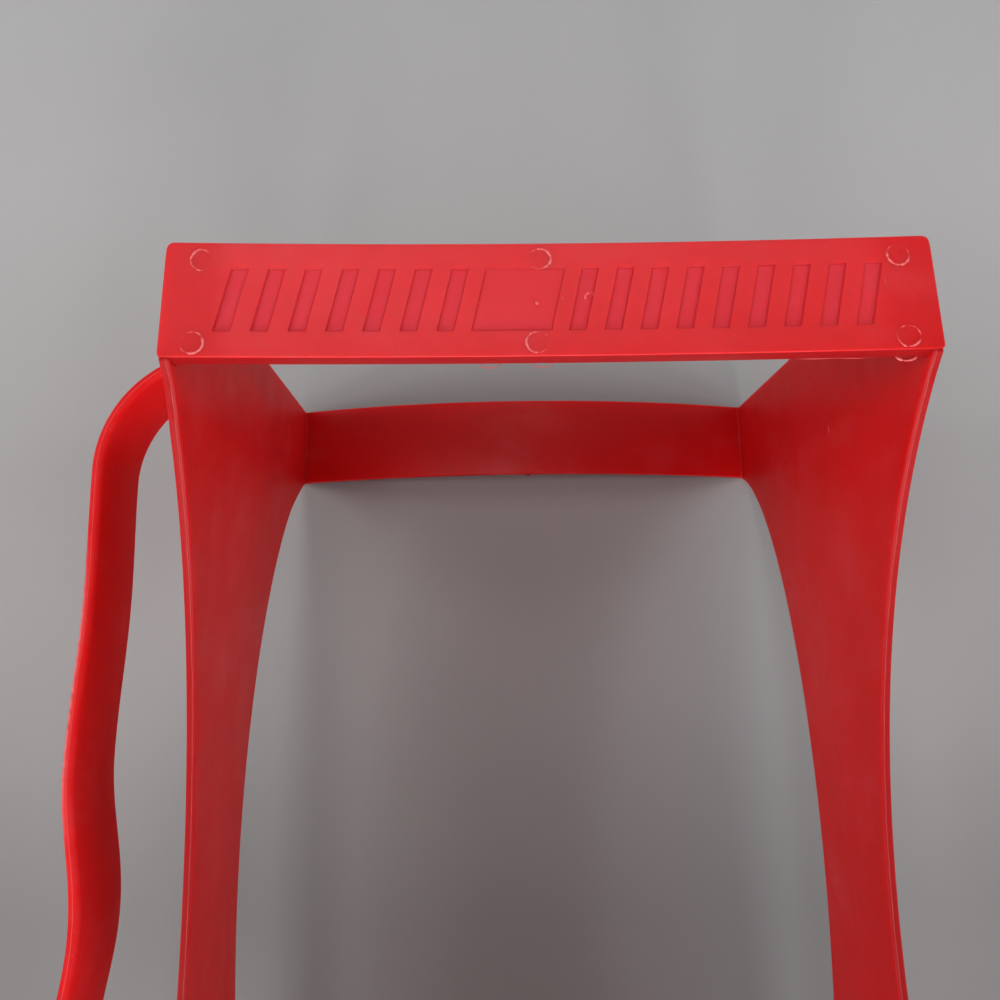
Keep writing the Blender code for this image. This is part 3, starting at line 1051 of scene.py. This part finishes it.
def stage_material(name, colour, shades):
    """A matt paint that shows from its front only, so that it never hides the object from behind.

    It lets the lamps' light through, and fades out far from the object.
    """
    nodes = Nodes(bpy.data.materials.new(name))
    place = nodes.add("ShaderNodeTexCoord").outputs["Object"]
    mottle = nodes.between(nodes.noise(place, 30.0, 4.0, 0.6), 0.3, 0.7)
    darker = tuple(c * (1 - MOTTLE) for c in colour)
    paler = tuple(c * (1 + MOTTLE) for c in colour)
    painted = nodes.mix(mottle, darker, paler)
    if shades:
        dimmed = {0: painted, 1: shade_ramp(nodes, place, shades)}
        painted = nodes.add("ShaderNodeVectorMath", dimmed, operation="MULTIPLY").outputs["Vector"]
    nodes.put(nodes.shader.inputs["Base Color"], painted)
    nodes.shader.inputs["Roughness"].default_value = 0.75
    nodes.shader.inputs["Specular IOR Level"].default_value = 0.3

    behind = nodes.add("ShaderNodeNewGeometry").outputs["Backfacing"]
    rays = nodes.add("ShaderNodeLightPath").outputs
    far = nodes.add("ShaderNodeVectorMath", {0: place}, operation="LENGTH").outputs["Value"]
    faded = nodes.math("MULTIPLY", nodes.between(far, *FADE), rays["Is Camera Ray"])
    hidden = nodes.math("MAXIMUM", behind, rays["Is Shadow Ray"])
    clear = nodes.add("ShaderNodeBsdfTransparent").outputs["BSDF"]
    blend = nodes.add("ShaderNodeMixShader")
    nodes.put(blend.inputs[0], nodes.math("MAXIMUM", hidden, faded))
    nodes.put(blend.inputs[1], nodes.shader.outputs["BSDF"])
    nodes.put(blend.inputs[2], clear)
    nodes.put(nodes.tree.nodes["Material Output"].inputs["Surface"], blend.outputs[0])
    return nodes.owner


def stage_plane(name, corners, colour, shades=()):
    mesh = bpy.data.meshes.new(name)
    mesh.from_pydata(corners, [], [(0, 1, 2, 3)])
    mesh.materials.append(stage_material(name, colour, shades))
    plane = bpy.data.objects.new(name, mesh)
    bpy.context.scene.collection.objects.link(plane)


bench_corners = [(x, BENCH_Y, z) for x, z in ((-2, FLOOR_Z), (2, FLOOR_Z), (2, 2.5), (-2, 2.5))]
floor_corners = [(x, y, FLOOR_Z) for x, y in ((-3, -3), (3, -3), (3, 3), (-3, 3))]
stage_plane("bench", bench_corners, BENCH_COLOUR, BENCH_SHADES)
stage_plane("floor", floor_corners, FLOOR_COLOUR)


# The light

CARRIER = Vector((0.0, 0.0, 0.11))
LAMP_DISTANCE = 1.15
WHITE = (1.0, 1.0, 1.0)
WARM = (1.0, 0.985, 0.97)
COOL = (0.97, 0.985, 1.0)

# How strong the world is as a light, and as the background that the camera and reflections see
WORLD_LIGHT = 0.05
WORLD_BACKGROUND = 0.36


def off_bench(above_bench, around):
    """A lamp's place, from its degrees above the bench and its degrees round from +X to +Z."""
    rise, turn = math.radians(above_bench), math.radians(around)
    flat = math.cos(rise)
    way = Vector((flat * math.cos(turn), -math.sin(rise), flat * math.sin(turn)))
    return CARRIER + LAMP_DISTANCE * way


# The lamps: (name, place, size, power, colour)
LAMPS = (
    ("low", off_bench(21.0, 270.0), 0.5, 12.7, WARM),
    ("left", off_bench(34.0, 180.0), 0.5, 5.1, WARM),
    ("right", off_bench(34.0, 0.0), 0.5, 3.5, COOL),
    ("over_left", off_bench(80.0, 180.0), 0.25, 2.45, WHITE),
    ("over", off_bench(64.0, 90.0), 0.5, 0.9, WHITE),
    ("top", Vector((0.0, -0.12, 1.25)), 0.6, 3.0, WHITE),
    ("rear", Vector((0.25, 0.75, 1.15)), 0.8, 1.2, WHITE),
)


def lamp(name, place, size, power, colour):
    """A square lamp that shines at the carrier."""
    light = bpy.data.lights.new(name, "AREA")
    light.shape = "SQUARE"
    light.size = size
    light.energy = power
    light.color = colour
    holder = bpy.data.objects.new(name, light)
    holder.location = place
    holder.visible_camera = False
    holder.rotation_euler = (CARRIER - place).to_track_quat("-Z", "Y").to_euler()
    bpy.context.scene.collection.objects.link(holder)


def soft_world():
    nodes = Nodes(bpy.data.worlds.new("soft_world"), "Background")
    rays = nodes.add("ShaderNodeLightPath").outputs
    seen = rays["Is Camera Ray"]
    for kind in ("Is Glossy Ray", "Is Transmission Ray"):
        seen = nodes.math("MAXIMUM", seen, rays[kind])
    strength = nodes.between(seen, 0.0, 1.0, WORLD_LIGHT, WORLD_BACKGROUND)
    nodes.put(nodes.shader.inputs["Color"], (1.0, 1.0, 1.0, 1))
    nodes.put(nodes.shader.inputs["Strength"], strength)
    return nodes.owner


for values in LAMPS:
    lamp(*values)
bpy.context.scene.world = soft_world()
bpy.context.scene.view_settings.view_transform = "Standard"


# The camera, as it was fitted to the collar's corners in the photo

CAMERA_PLACE = (-0.009188, -0.174927, 0.133722)
CAMERA_LENS = 36.351
CAMERA_SENSOR = 36.0
CAMERA_SHIFT = -0.1
CAMERA_TURNS = ((-1.0127, "Z"), (90.0 + 13.7155, "X"), (-0.9211, "Z"))

camera_data = bpy.data.cameras.new("camera")
camera_data.sensor_width = CAMERA_SENSOR
camera_data.lens = CAMERA_LENS
camera_data.shift_y = CAMERA_SHIFT
camera_data.clip_start = 0.01
camera = bpy.data.objects.new("camera", camera_data)
placed = Matrix.Translation(CAMERA_PLACE)
for degrees, axis in CAMERA_TURNS:
    placed = placed @ Matrix.Rotation(math.radians(degrees), 4, axis)
camera.matrix_world = placed
bpy.context.scene.collection.objects.link(camera)
bpy.context.scene.camera = camera
